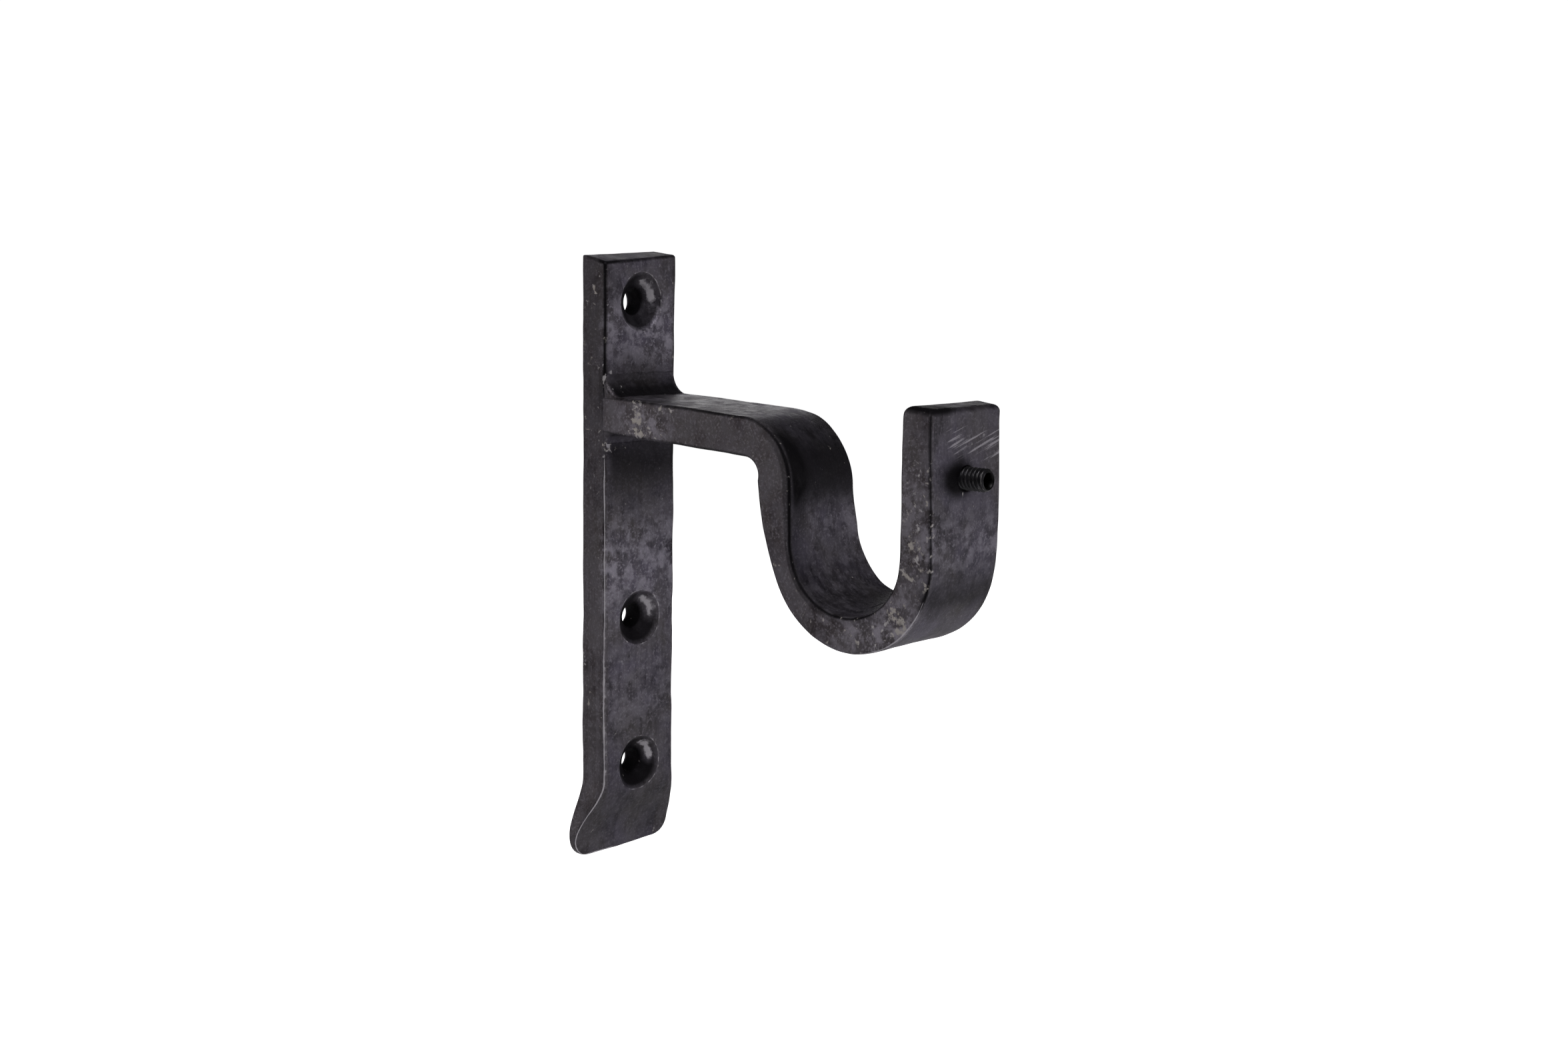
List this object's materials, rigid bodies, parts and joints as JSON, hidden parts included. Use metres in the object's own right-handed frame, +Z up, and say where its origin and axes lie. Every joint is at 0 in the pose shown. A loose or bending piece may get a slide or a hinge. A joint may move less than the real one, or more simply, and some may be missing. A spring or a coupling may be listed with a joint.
{
  "type": "curtain pole wall bracket",
  "caption": "Forged flat-bar wall bracket: countersunk wall plate, welded arm bent into an open-topped cradle, and a socket set screw that holds the pole in it.",
  "frame": {"origin": "on the wall, at the middle of the plate's back face", "axes": "+Z up along the plate, +Y into the wall, so the arm points along -Y, and +X across the bar's width"},
  "size_m": [0.0256, 0.0898, 0.119],
  "materials": {
    "plate_iron": "blackened forged iron, waxed",
    "arm_iron": "blackened forged iron, waxed",
    "weld_iron": "blackened weld, ground flush at the sides",
    "screw_steel": "black oxide"
  },
  "bodies": {
    "bracket": {"wall_plate": "plate_iron", "cradle_arm": "arm_iron", "upper_weld": "weld_iron", "lower_weld": "weld_iron"},
    "screw_point": {"screw_point": "screw_steel"},
    "clamp_screw": {"clamp_screw": "screw_steel"}
  },
  "joints": [
    {"name": "screw_advance", "type": "slide", "parent": "bracket", "child": "screw_point", "axis": [0, 1, 0], "range_m": [-0.004, 0.0052]},
    {"name": "screw_turn", "type": "hinge", "parent": "screw_point", "child": "clamp_screw", "pos_m": [0, -0.0793, 0.0242], "axis": [0, 1, 0], "range_deg": [-1815, 2359]}
  ],
  "couplings": [
    {"joint": "screw_turn", "follows": "screw_advance", "rad_per_m": 7915.8}
  ]
}
